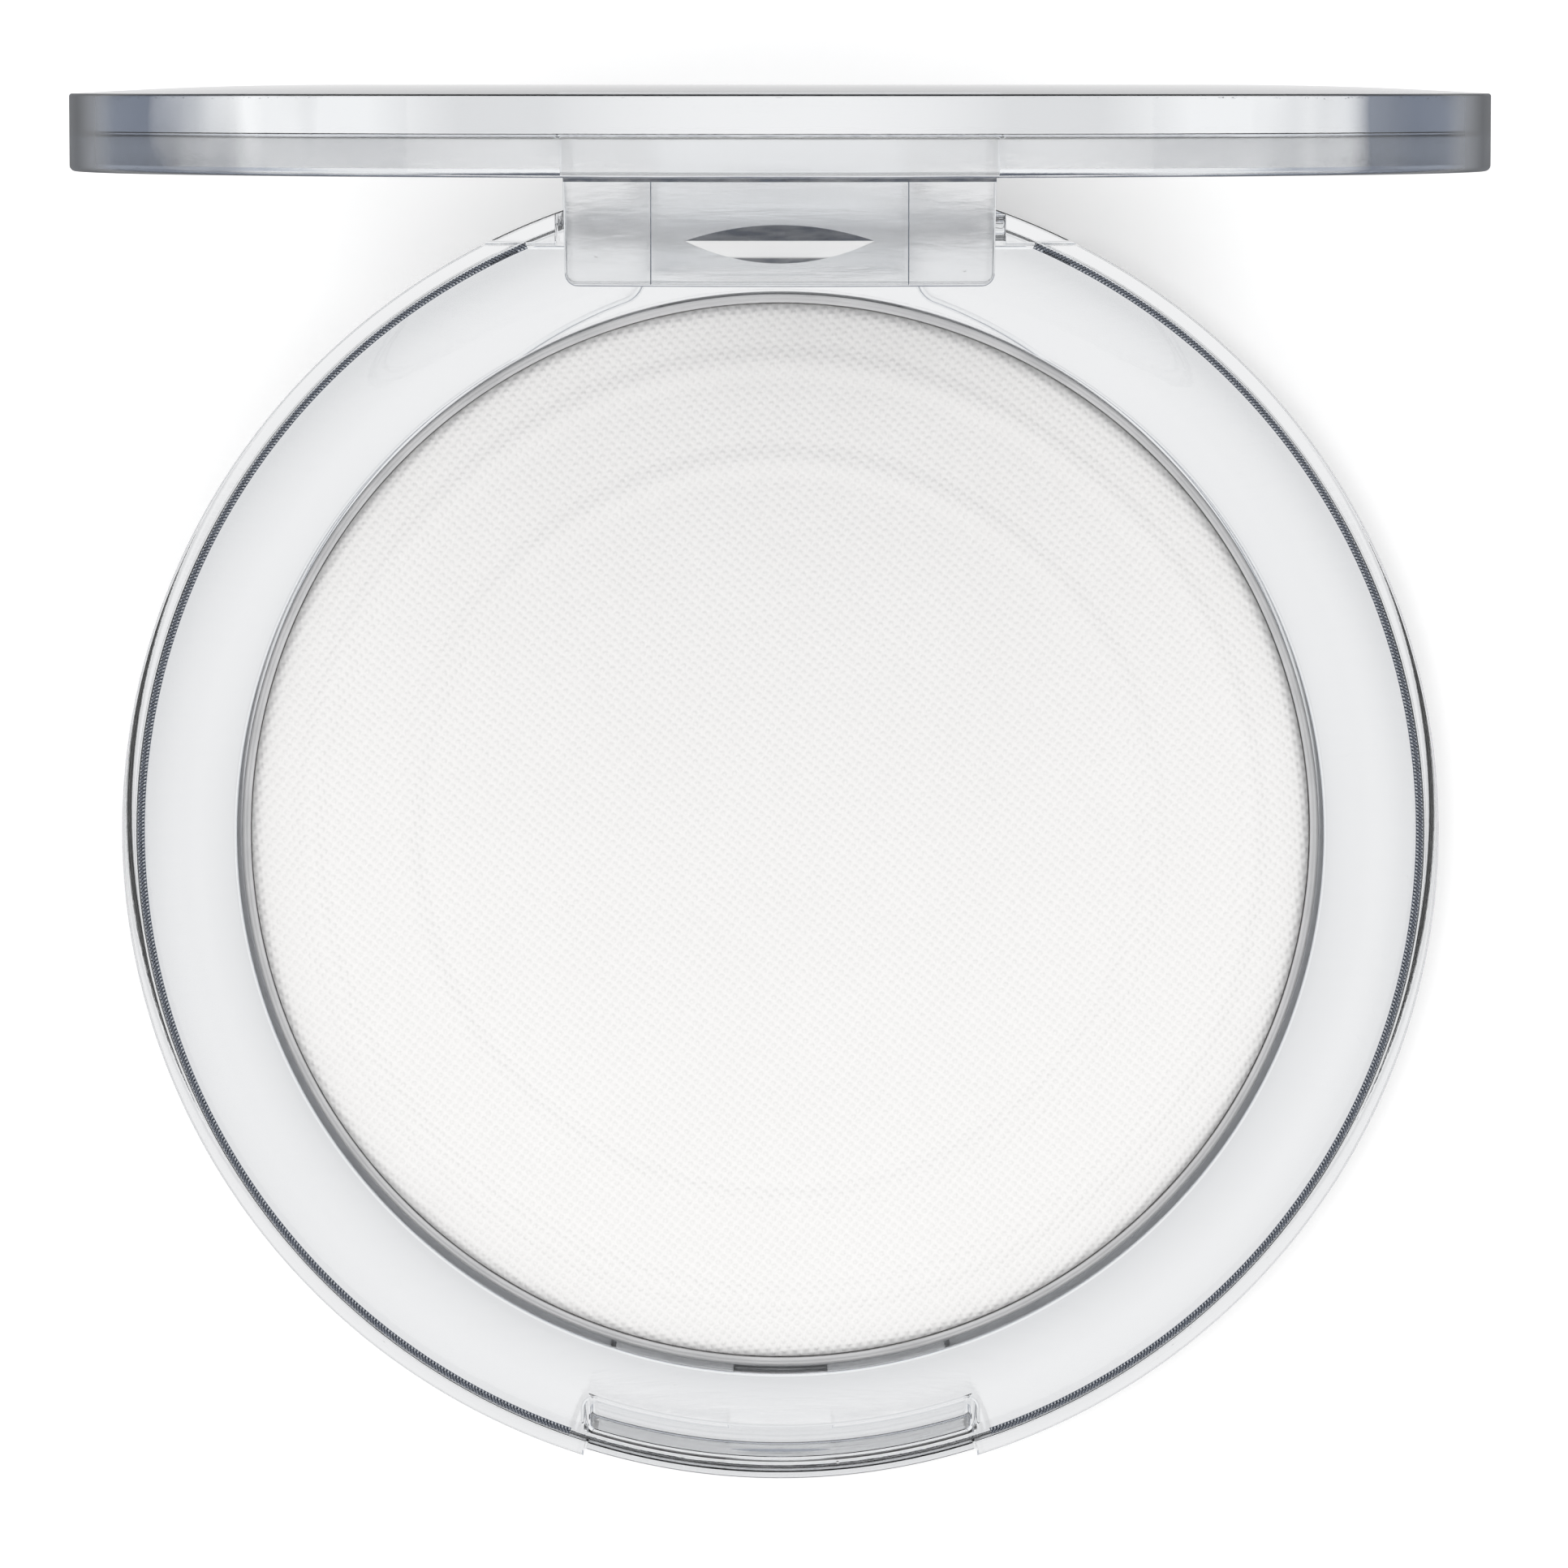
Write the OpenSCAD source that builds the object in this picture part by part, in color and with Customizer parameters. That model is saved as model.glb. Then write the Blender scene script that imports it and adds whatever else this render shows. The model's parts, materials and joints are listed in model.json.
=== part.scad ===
// Round clear powder compact, shown with its lid open at a right angle.
// X runs across, Y runs towards the hinge and Z is up.
// The origin is the middle of the flat underside. All sizes are in millimetres.

/* [Body] */
// Outer diameter of the base and of the lid
body_d = 72; // [71.5:0.1:73]
// Height of the plane where the closed lid meets the base
parting_z = 8.5; // [8.4:0.1:9.2]
// Thickness of the base shell's floor
floor_t = 1.2; // [1:0.1:1.3]
// Thickness of the base shell's wall
shell_t = 0.8; // [0.7:0.05:0.9]
// Radius of the base shell's bottom edge
bottom_r = 1.2; // [0.6:0.1:1.4]
// Radius that breaks the sharp outer edges
edge_r = 0.15; // [0.1:0.05:0.2]

/* [Lid] */
// Height of the lid's cylindrical side
lid_side_h = 3.9; // [3.6:0.1:4.4]
// Height that the lid's face rises above its side
lid_crown_h = 0.45; // [0.3:0.05:0.6]
// Radius of the flat middle of the lid's face
lid_flat_r = 22; // [18:1:26]
// Depth of the hollow in the lid's underside
lid_hollow_h = 2.05; // [1.8:0.05:2.3]
// Thickness of the skirt around the lid's hollow
skirt_t = 1.05; // [1:0.05:1.1]

/* [Deck] */
// Radius of the deck's round opening
well_r = 29.65; // [29.6:0.05:29.8]
// Height of the deck's crown above the parting plane
crown_h = 1; // [0.8:0.05:1.2]
// Radius at which the crown is highest
crown_r = 30.6; // [30.4:0.1:31]
// Thickness of the inner frame's floor
frame_floor_t = 1.2; // [1:0.1:1.3]
// Distance from the middle to the straight edge behind the deck
chord_y = 32.1; // [32:0.05:32.2]
// Half the width of the channel across the deck in front of the hinge
channel_x = 7.4; // [7.3:0.05:7.6]
// Bevel on the deck's corners at that channel
channel_bevel = 0.9; // [0.6:0.1:1.1]

/* [Latch] */
// Width of the catch tab under the front of the lid
tab_w = 20.4; // [20:0.1:20.5]
// Length of the tab below the parting plane
tab_len = 5.1; // [4.8:0.1:5.2]
// Radius of the tab's outer face
tab_face_r = 34.35; // [34.3:0.05:34.4]
// Thickness of the tab
tab_t = 1.05; // [0.9:0.05:1.1]
// Radius of the two corners at the tab's tip
tab_corner_r = 0.6; // [0.4:0.1:1]
// Depth below the parting plane at which the snap sits
snap_depth = 2.95; // [2.8:0.05:3.1]
// Depth of the snap recess in the tab
snap_recess = 0.29; // [0.2:0.01:0.3]
// Height of the snap bead in the slot
snap_bead = 0.12; // [0.08:0.01:0.12]
// Depth of the thumb recess in the front of the shell
thumb_depth = 0.4; // [0.3:0.05:0.45]

/* [Hinge] */
// Distance from the middle to the hinge's axis
hinge_y = 33; // [32.9:0.05:33.1]
// Depth of the hinge's axis below the parting plane
hinge_drop = 3.5; // [3.4:0.05:3.6]
// Radius of the rounded ears and lug
barrel_r = 2.3; // [2.2:0.05:2.3]
// Diameter of the steel hinge pin
pin_d = 1.4; // [1.2:0.1:1.5]
// Length of the pin
pin_len = 23; // [21:0.5:23]
// Width of the lid's hinge lug
lug_w = 14.1; // [14:0.1:14.2]

/* [Pan and powder] */
// Outer diameter of the pan
pan_d = 59; // [58.8:0.1:59]
// Height of the pan
pan_h = 5.1; // [4.8:0.1:5.2]
// Thickness of the pan's sheet
pan_t = 0.3; // [0.25:0.05:0.4]
// Height of the powder above the pan's rim
powder_rise = 0.3; // [0.2:0.05:0.4]
// Radius of the powder's shoulder
shoulder_r = 0.7; // [0.5:0.1:0.9]
// Height of the rings pressed up from the powder
ring_h = 0.16; // [0.1:0.01:0.2]
// Width of each ring
ring_w = 2.3; // [2:0.1:2.6]

/* [Hidden] */
$fn = 180;

// Angle that the lid stands open at
open_angle = 90;
// Clearance where a rigid piece passes another
gap = 0.15;
// Clearance where two pieces are pushed together
snug = 0.05;
// Extra length of a cut past the surface it opens
past = 1;
// Edge count of the largest arcs
fine_fn = 1440;

body_r = body_d / 2;
shell_in_r = body_r - shell_t;
frame_r = shell_in_r - snug;
rim_z = parting_z - snug;
frame_floor_z = floor_t + frame_floor_t;

lid_crown_arc = (pow(body_r - lid_flat_r, 2) + pow(lid_crown_h, 2)) / (2 * lid_crown_h);
hollow_r = body_r - skirt_t;

// The crown runs down from its peak to just under the parting plane at the frame's edge
crown_foot_r = frame_r - 0.25;
crown_drop = crown_h + 0.1;
crown_arc = (pow(crown_foot_r - crown_r, 2) + pow(crown_drop, 2)) / (2 * crown_drop);
plateau_z = parting_z - 0.5;

hinge_z = parting_z - hinge_drop;
pin_r = pin_d / 2;
ear_outer_x = 12.3;
lug_slot_x = lug_w / 2 + gap;
// The heel is the lowest point of the open lug, and it stops on the slot's floor
heel_z = hinge_z - (body_r - hinge_y);
lug_slot_z = heel_z - 0.1;
window_z = 2.4;

// The flare widens the channel along the pan's opening
flare_y = 6.3;
flare_r = 24.23;

slot_in_r = tab_face_r - tab_t - 0.2;
slot_out_r = tab_face_r + 0.2;
slot_x = tab_w / 2 + 0.25;
slot_floor_z = parting_z - tab_len - 0.3;
pocket_r = slot_in_r - 0.4;
pocket_x = slot_x + 0.3;
pocket_z = parting_z - 1;
snap_z = parting_z - snap_depth;
// Half the bead's length, past the ends of the lens that stands out
snap_x = 4;
ledge_z = 1.9;
thumb_x = pocket_x + 0.1;
relief_x = 2.85;
relief_depth = 0.45;

adhesive_t = 0.2;
pan_z = frame_floor_z + adhesive_t;
pan_r = pan_d / 2;
pan_rim_z = pan_z + pan_h;
powder_r = pan_r - pan_t - snug;
powder_z = pan_rim_z + powder_rise;
ring_radii = [20.4, 25.75];
ring_arc = (pow(ring_w / 2, 2) + pow(ring_h, 2)) / (2 * ring_h);

clear_plastic = [0.86, 0.89, 0.92, 0.55];

// ---- Helpers ----

// Sliver outside a rounded convex corner, whose tip is at the origin
module corner_cut(r) {
    difference() {
        translate([-r, -r]) square(r + past);
        translate([-r, -r]) circle(r);
    }
}

module ring_2d(r_out, r_in) {
    difference() {
        circle(r_out);
        circle(r_in);
    }
}

// Part of a ring at the front, between two upright planes
module front_arc_2d(r_out, r_in, half_x) {
    intersection() {
        ring_2d(r_out, r_in);
        translate([-half_x, -body_r - past]) square([2 * half_x, body_r]);
    }
}

// Extrudes a section drawn in Y and Z along X
module along_x(x_from, x_to) {
    translate([x_from, 0, 0]) rotate([90, 0, 90]) linear_extrude(x_to - x_from) children();
}

module hinge_bore(r, x_from, x_to) {
    translate([x_from, hinge_y, hinge_z]) rotate([0, 90, 0]) cylinder(h = x_to - x_from, r = r);
}

// Turns what is drawn closed to the open position
module opened() {
    translate([0, hinge_y, hinge_z]) rotate([-open_angle, 0, 0])
        translate([0, -hinge_y, -hinge_z]) children();
}

// ---- Base shell ----

module shell_profile() {
    difference() {
        square([body_r, rim_z]);
        translate([0, floor_t]) square([shell_in_r, rim_z]);
        translate([body_r, 0]) mirror([0, 1]) corner_cut(bottom_r);
    }
}

// Opening at the back, through which the lid's rim turns down
module rear_window() {
    translate([-body_r, chord_y, window_z]) cube([body_d, body_r, body_r]);
    translate([-lug_slot_x, chord_y, lug_slot_z]) cube([2 * lug_slot_x, body_r, body_r]);
}

module thumb_recess() {
    translate([0, 0, ledge_z]) linear_extrude(body_r)
        front_arc_2d(body_r + past, body_r - thumb_depth, thumb_x);
}

module base_shell() {
    color(clear_plastic) difference() {
        rotate_extrude() shell_profile();
        rear_window();
        thumb_recess();
    }
}

// ---- Inner frame ----

module frame_profile() {
    translate([0, floor_t]) square([frame_r, frame_floor_t]);
    difference() {
        intersection() {
            translate([well_r, floor_t]) square([frame_r - well_r, parting_z + crown_h]);
            translate([crown_r, parting_z + crown_h - crown_arc]) circle(crown_arc, $fn = fine_fn);
        }
        // Bevel that carries the serrated edge
        translate([frame_r, parting_z]) rotate(-45) square([0.8, 1.2], center = true);
    }
}

module ear_section() {
    translate([hinge_y, hinge_z]) circle(barrel_r);
    translate([chord_y - past, floor_t])
        square([hinge_y - chord_y + past, hinge_z + barrel_r - floor_t]);
}

module hinge_ears() {
    intersection() {
        union() {
            along_x(-ear_outer_x, -lug_slot_x) ear_section();
            along_x(lug_slot_x, ear_outer_x) ear_section();
        }
        translate([0, 0, floor_t]) cylinder(h = body_r, r = body_r - snug);
        // Below the window the shell's lip is in the way
        union() {
            cylinder(h = window_z, r = frame_r);
            translate([0, 0, window_z]) cylinder(h = body_r, r = body_r);
        }
    }
}

// Bevels the deck's corner between the channel and the flare
module channel_bevel_2d() {
    top_y = flare_y + sqrt(pow(flare_r, 2) - pow(channel_x, 2)) + channel_bevel;
    polygon([[0, top_y], [channel_x, top_y],
             [channel_x + 2 * channel_bevel, top_y - 2 * channel_bevel],
             [0, top_y - 2 * channel_bevel]]);
}

// The deck is cut down to a flat plateau between the pan and the hinge
module deck_channel() {
    translate([0, 0, plateau_z]) linear_extrude(body_r) {
        translate([-channel_x, flare_y]) square([2 * channel_x, body_r]);
        intersection() {
            translate([0, flare_y]) circle(flare_r);
            translate([-body_r, flare_y + flare_r / 2]) square([body_d, body_r]);
        }
        channel_bevel_2d();
        mirror([1, 0]) channel_bevel_2d();
    }
}

module lug_slot() {
    translate([-lug_slot_x, hinge_y - barrel_r - gap, lug_slot_z])
        cube([2 * lug_slot_x, body_r, body_r]);
}

// The upper pocket, the slot for the tab, the relief beside it and the front wall's flat top
module latch_pocket() {
    translate([0, 0, rim_z - gap]) linear_extrude(body_r)
        front_arc_2d(body_r, pocket_r, pocket_x);
    translate([0, 0, pocket_z]) linear_extrude(body_r)
        front_arc_2d(slot_out_r, pocket_r, pocket_x);
    translate([0, 0, slot_floor_z]) linear_extrude(body_r)
        front_arc_2d(slot_out_r, slot_in_r, slot_x);
    translate([0, 0, slot_floor_z]) linear_extrude(body_r)
        front_arc_2d(slot_out_r, slot_in_r - relief_depth, relief_x);
}

// A straight bead on a curved wall, so only a lens of it stands out
module snap_bead() {
    along_x(-snap_x, snap_x) translate([-slot_out_r, snap_z])
        polygon([[snap_bead, 0], [-0.3, 0.9], [-0.3, -0.9]]);
}

module inner_frame() {
    color(clear_plastic) difference() {
        union() {
            difference() {
                rotate_extrude() frame_profile();
                translate([-body_r, chord_y, frame_floor_z]) cube([body_d, body_r, body_r]);
                deck_channel();
                latch_pocket();
            }
            hinge_ears();
            snap_bead();
        }
        lug_slot();
        hinge_bore(pin_r + 0.01, -pin_len / 2 - 0.1, body_r);
    }
}

// ---- Pan, powder and adhesive ----

module pan_adhesive() {
    color("gainsboro") translate([0, 0, frame_floor_z]) linear_extrude(adhesive_t)
        ring_2d(24, 12);
}

module powder_pan() {
    color("silver") rotate_extrude() translate([0, pan_z]) difference() {
        square([pan_r, pan_h]);
        translate([0, pan_t]) square([pan_r - pan_t, pan_h]);
        translate([pan_r, 0]) mirror([0, 1]) corner_cut(pan_t);
        translate([pan_r, pan_h]) corner_cut(pan_t / 2);
    }
}

module powder_cake() {
    color("floralwhite") rotate_extrude() {
        difference() {
            translate([0, pan_z + pan_t]) square([powder_r, powder_z - pan_z - pan_t]);
            translate([powder_r, powder_z]) corner_cut(shoulder_r);
        }
        for (r = ring_radii)
            translate([r, powder_z]) intersection() {
                translate([0, ring_h - ring_arc]) circle(ring_arc, $fn = fine_fn);
                translate([-ring_w / 2, -past]) square([ring_w, 2 * past]);
            }
    }
}

// ---- Hinge pin ----

module hinge_pin() {
    color("lightsteelblue") translate([-pin_len / 2, hinge_y, hinge_z]) rotate([0, 90, 0])
        rotate_extrude() difference() {
            square([pin_r, pin_len]);
            translate([pin_r, 0]) mirror([0, 1]) corner_cut(edge_r);
            translate([pin_r, pin_len]) corner_cut(edge_r);
        }
}

// ---- Lid ----

module lid_profile() {
    difference() {
        union() {
            square([lid_flat_r, lid_side_h + lid_crown_h]);
            intersection() {
                square([body_r, lid_side_h + lid_crown_h]);
                translate([lid_flat_r, lid_side_h + lid_crown_h - lid_crown_arc])
                    circle(lid_crown_arc, $fn = fine_fn);
            }
        }
        translate([body_r, 0]) mirror([0, 1]) corner_cut(edge_r);
        translate([body_r, lid_side_h]) corner_cut(edge_r);
    }
}

// The hollow ends in a straight wall in front of the hinge
module lid_hollow() {
    translate([0, 0, parting_z - past]) linear_extrude(lid_hollow_h + past) difference() {
        circle(hollow_r);
        translate([-body_r, chord_y + 0.3]) square([body_d, body_r]);
    }
}

module hinge_lug() {
    intersection() {
        along_x(-lug_w / 2, lug_w / 2) {
            translate([hinge_y, hinge_z]) circle(barrel_r);
            translate([hinge_y - barrel_r, hinge_z])
                square([body_r, hinge_drop + lid_hollow_h]);
        }
        cylinder(h = 2 * body_r, r = body_r);
    }
}

// Outline of the tab seen from the front, with its two lower corners rounded
module tab_outline() {
    half = tab_w / 2;
    tip_z = parting_z - tab_len;
    difference() {
        translate([-half, tip_z]) square([tab_w, tab_len + lid_hollow_h]);
        translate([half, tip_z]) mirror([0, 1]) corner_cut(tab_corner_r);
        translate([-half, tip_z]) rotate(180) corner_cut(tab_corner_r);
    }
}

module catch_tab() {
    intersection() {
        linear_extrude(body_r) front_arc_2d(tab_face_r, tab_face_r - tab_t, tab_w);
        rotate([90, 0, 0]) linear_extrude(body_d) tab_outline();
    }
    translate([0, 0, parting_z]) linear_extrude(lid_hollow_h)
        front_arc_2d(hollow_r + skirt_t / 2, tab_face_r - tab_t, tab_w / 2);
}

// A straight groove on a curved face, so it opens as a lens
module snap_recess() {
    along_x(-tab_w, tab_w) translate([-tab_face_r, snap_z])
        polygon([[snap_recess, 0], [-snap_recess, 1.5], [-snap_recess, -2.1]]);
}

module lid() {
    color(clear_plastic) opened() difference() {
        union() {
            difference() {
                translate([0, 0, parting_z]) rotate_extrude() lid_profile();
                lid_hollow();
            }
            hinge_lug();
            catch_tab();
        }
        hinge_bore(pin_r + snug, -lug_w, lug_w);
        snap_recess();
    }
}

base_shell();
inner_frame();
pan_adhesive();
powder_pan();
powder_cake();
hinge_pin();
lid();
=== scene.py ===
import json
import math

import bpy
from mathutils import Matrix, Vector


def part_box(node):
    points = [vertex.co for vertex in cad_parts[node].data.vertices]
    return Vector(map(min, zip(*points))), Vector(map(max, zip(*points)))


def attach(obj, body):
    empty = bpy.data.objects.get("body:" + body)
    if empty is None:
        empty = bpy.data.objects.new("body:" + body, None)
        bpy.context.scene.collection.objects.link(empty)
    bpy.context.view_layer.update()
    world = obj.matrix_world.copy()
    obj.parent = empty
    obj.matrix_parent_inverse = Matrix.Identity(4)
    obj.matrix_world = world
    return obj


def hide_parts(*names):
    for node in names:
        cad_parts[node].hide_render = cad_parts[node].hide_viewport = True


# A round clear powder compact, open at a right angle. Shapes are made in millimetres in the CAD
# frame, with the lid closed, and each is then scaled to metres and the lid is turned open.
MM = 0.001
TURN = 360                  # columns round a full turn
PIN_SIDES = 64              # sides of the pin and of its bore
ROUND = 8                   # steps round a quarter-turn fillet
CRISP = math.radians(14)    # edges sharper than this stay crisp; fillets are finer than it

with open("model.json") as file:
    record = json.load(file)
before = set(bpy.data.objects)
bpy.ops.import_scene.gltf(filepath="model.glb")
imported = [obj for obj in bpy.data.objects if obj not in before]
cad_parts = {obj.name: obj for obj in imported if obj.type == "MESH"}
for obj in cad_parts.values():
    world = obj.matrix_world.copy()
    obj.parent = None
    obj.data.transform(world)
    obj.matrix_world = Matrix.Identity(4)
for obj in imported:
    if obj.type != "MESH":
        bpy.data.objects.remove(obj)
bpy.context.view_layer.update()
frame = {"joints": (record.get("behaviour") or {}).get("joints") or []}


def span(node):
    """Lowest and highest corner of a CAD node in millimetres."""
    low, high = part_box(node)
    return low / MM, high / MM


# ---- Sizes taken from the frame ----

shell_high = span("base_shell")[1]
frame_high = span("inner_frame")[1]
lid_high = span("lid")[1]
glue_low, glue_high = span("pan_adhesive")
pan_low, pan_high = span("powder_pan")
cake_low, cake_high = span("powder_cake")
pin_low, pin_high = span("hinge_pin")
hinge = Vector(frame["joints"][0]["pos_m"]) / MM

BODY_R = shell_high.x
RIM_Z = shell_high.z
FAR = BODY_R + 2                # out here a cutter is clear of the whole compact
SNUG = 0.05                     # clearance where two pieces are pushed together
GAP = 0.15                      # clearance where a piece passes another
AIR = 0.02                      # film of air between faces that lie on each other
PARTING_Z = RIM_Z + SNUG
CROWN_TOP = frame_high.z
PAN_R = pan_high.x
PAN_RIM = 0.5
CAKE_R = PAN_R - PAN_RIM - AIR
PIN_R = (pin_high.z - pin_low.z) / 2
LID_TOP = lid_high.y - hinge.y + hinge.z

# ---- Sizes of the base ----

SHELL_T = 0.8
FLOOR_T = 1.2
BOTTOM_R = 0.2
WINDOW_Z = 2.4
CHORD_Y = 32.1
LEDGE_Z = 1.9
THUMB_DEPTH = 0.4
FRAME_R = BODY_R - SHELL_T - SNUG
FRAME_FLOOR_Z = 2 * FLOOR_T
WELL_R = 29.65
CROWN_R = 30.6
CROWN_FOOT_R = FRAME_R - 0.25
CROWN_DROP = CROWN_TOP - PARTING_Z + 0.1
CROWN_ARC = ((CROWN_FOOT_R - CROWN_R) ** 2 + CROWN_DROP ** 2) / (2 * CROWN_DROP)
NOTCH_R = FRAME_R - 0.4          # the serrated edge sits on a step at the frame's outer edge
NOTCH_Z = PARTING_Z - 0.45
TEETH = 1100
SLANT = 1.6                      # teeth that a tooth leans over along its width
TOOTH_W = 0.36
TOOTH_R = NOTCH_R + 0.03         # the teeth start a little way onto the step
PLATEAU_Z = PARTING_Z - 0.5
CHANNEL_X = 7.4
CHANNEL_CORNER = 1.5
FLARE_Y = 6.3
FLARE_R = 24.23

# ---- Sizes of the latch and the hinge ----

TAB_X = 10.2
TAB_LEN = 5.1
TAB_R = 34.35
TAB_T = 1.05
TAB_CORNER = 0.6
SLOT_IN = TAB_R - TAB_T - 0.2
SLOT_OUT = TAB_R + 0.2
SLOT_X = TAB_X + 0.25
SLOT_Z = PARTING_Z - TAB_LEN - 0.3
POCKET_R = SLOT_IN - 0.4
POCKET_X = SLOT_X + 0.3
POCKET_Z = PARTING_Z - 1
SNAP_Z = PARTING_Z - 2.95        # ridge of the snap recess
SNAP_UP = 0.75                   # the recess reaches this far above and below its ridge
SNAP_DOWN = 1.05
SNAP_RECESS = 0.29
SNAP_BEAD = 0.12
WITNESS_X = 6.05                 # mould lines down the tab's face
WITNESS_W = 0.07
WITNESS_DEPTH = 0.05
ROOT_LINE_DEPTH = 0.09           # fine groove across the tab's root
ROOT_LINE_HIGH = 0.02            # its two edges are this far under the parting plane
ROOT_LINE_LOW = 0.2
BARREL_R = 2.3
LUG_X = 7.05
EAR_X = 12.3
HEEL_Z = hinge.z - (BODY_R - hinge.y)

# ---- Sizes of the lid ----

SKIRT_T = 1.05
HOLLOW_R = BODY_R - SKIRT_T
HOLLOW_Z = PARTING_Z + 2.05
HOLLOW_Y = CHORD_Y + 0.3
LID_EDGE_R = 0.3
LID_SIDE_Z = PARTING_Z + 3.9
LID_FLAT_R = 22
LID_ARC = ((BODY_R - LID_FLAT_R) ** 2 + (LID_TOP - LID_SIDE_Z) ** 2) / (2 * (LID_TOP - LID_SIDE_Z))


# ---- Outlines ----

def polar(radius, angle):
    return radius * math.cos(angle), radius * math.sin(angle)


def between(start, end, steps):
    """steps + 1 evenly spaced numbers from start to end."""
    return [start + (end - start) * i / steps for i in range(steps + 1)]


def fillets(corners, steps=ROUND):
    """Points of a closed outline whose corners are (x, y, radius)."""
    points = []
    for before, corner, after in zip(corners[-1:] + corners[:-1], corners, corners[1:] + corners[:1]):
        tip, radius = Vector(corner[:2]), corner[2]
        if not radius:
            points.append(tuple(tip))
            continue
        back = (Vector(before[:2]) - tip).normalized()
        ahead = (Vector(after[:2]) - tip).normalized()
        half = back.angle(ahead) / 2
        middle = tip + (back + ahead).normalized() * radius / math.sin(half)
        start = tip + back * radius / math.tan(half) - middle
        end = tip + ahead * radius / math.tan(half) - middle
        first = math.atan2(start.y, start.x)
        turn = (math.atan2(end.y, end.x) - first + math.pi) % math.tau - math.pi
        for angle in between(first, first + turn, steps):
            points.append(tuple(middle + Vector(polar(radius, angle))))
    return points


def front_arc(radius, half_x, steps=48):
    """Points along the front of a circle, from -X to +X, without its two ends."""
    reach = math.asin(half_x / radius)
    return [(radius * math.sin(a), -radius * math.cos(a), 0) for a in between(-reach, reach, steps)[1:-1]]


def sector(outer, inner, half_x, corner):
    """Outline at the front between two radii and two upright planes, with rounded corners."""
    y_out = -math.sqrt(outer ** 2 - half_x ** 2)
    y_in = -math.sqrt(inner ** 2 - half_x ** 2)
    return fillets([(-half_x, y_out, corner), *front_arc(outer, half_x), (half_x, y_out, corner),
                    (half_x, y_in, corner), *front_arc(inner, half_x)[::-1], (-half_x, y_in, corner)])


def rectangle(x_from, x_to, y_from, y_to, corner):
    return fillets([(x_from, y_from, corner), (x_to, y_from, corner),
                    (x_to, y_to, corner), (x_from, y_to, corner)])


def behind_chord(inset):
    """Outline of all that lies behind the chord, where the window and the hinge are."""
    return rectangle(-FAR, FAR, CHORD_Y + inset, 2 * FAR, 0.05)


def crown_z(radius):
    """Height of the deck's crown. It stays level where its arc has run out, far outside the frame."""
    reach = min(abs(radius - CROWN_R), 0.9 * CROWN_ARC)
    return CROWN_TOP - CROWN_ARC + math.sqrt(CROWN_ARC ** 2 - reach ** 2)


def split_counts(ring, longest=0.5):
    """How many parts each side of a closed outline needs to be no longer than that."""
    return [max(1, math.ceil(math.dist(p, q) / longest)) for p, q in zip(ring, ring[1:] + ring[:1])]


def split(ring, counts):
    """The closed outline with each side cut into that many equal parts."""
    return [(p[0] + (q[0] - p[0]) * k / n, p[1] + (q[1] - p[1]) * k / n)
            for p, q, n in zip(ring, ring[1:] + ring[:1], counts) for k in range(n)]


def edge_levels(z, radius, sign=1, steps=ROUND):
    """(height, inset) pairs that round the end of a loft at height z."""
    return [(z + sign * radius * (1 - math.sin(a)), radius * (1 - math.cos(a)))
            for a in between(math.pi / 2, 0, steps)]


# ---- Meshes ----

def new_object(name, points, faces):
    """A mesh object with all its faces turned outwards."""
    mesh = bpy.data.meshes.new(name)
    mesh.from_pydata(points, [], faces)
    mesh.validate()
    made = bpy.data.objects.new(name, mesh)
    bpy.context.scene.collection.objects.link(made)
    turn_outwards(mesh)
    return made


def turn_outwards(mesh):
    """Flips a closed mesh whose faces look inwards."""
    volume = 0.0
    for face in mesh.polygons:
        corners = [mesh.vertices[i].co for i in face.vertices]
        for b, c in zip(corners[1:], corners[2:]):
            volume += corners[0].dot(b.cross(c))
    if volume < 0:
        mesh.flip_normals()


def lathe(name, profile, columns=TURN):
    """Solid of revolution about Z from a closed outline of (radius, height)."""
    points, rings = [], []
    for radius, z in profile:
        if radius < 1e-6:
            rings.append([len(points)] * columns)
            points.append((0, 0, z))
        else:
            rings.append(range(len(points), len(points) + columns))
            points += [(*polar(radius, math.tau * i / columns), z) for i in range(columns)]
    faces = []
    for low, high in zip(rings, [*rings[1:], rings[0]]):
        for i in range(columns):
            j = (i + 1) % columns
            face = tuple(dict.fromkeys((low[i], low[j], high[j], high[i])))
            if len(face) > 2:
                faces.append(face)
    return new_object(name, points, faces)


def band(base, count):
    """Faces between two loops of points that follow each other, the first starting at index base."""
    return [(base + i, base + (i + 1) % count, base + count + (i + 1) % count, base + count + i)
            for i in range(count)]


def loft(name, rings):
    """Closed solid through loops of equally many points, with a flat face at each end."""
    count = len(rings[0])
    points = [p for ring in rings for p in ring]
    faces = [tuple(range(count))[::-1], tuple(range(len(points) - count, len(points)))]
    for k in range(len(rings) - 1):
        faces += band(k * count, count)
    return new_object(name, points, faces)


def shaft(outline, levels):
    """Cutter whose outline(inset) changes with height, from (height, inset) pairs."""
    return loft("cutter", [[(x, y, z) for x, y in outline(inset)] for z, inset in levels])


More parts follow.
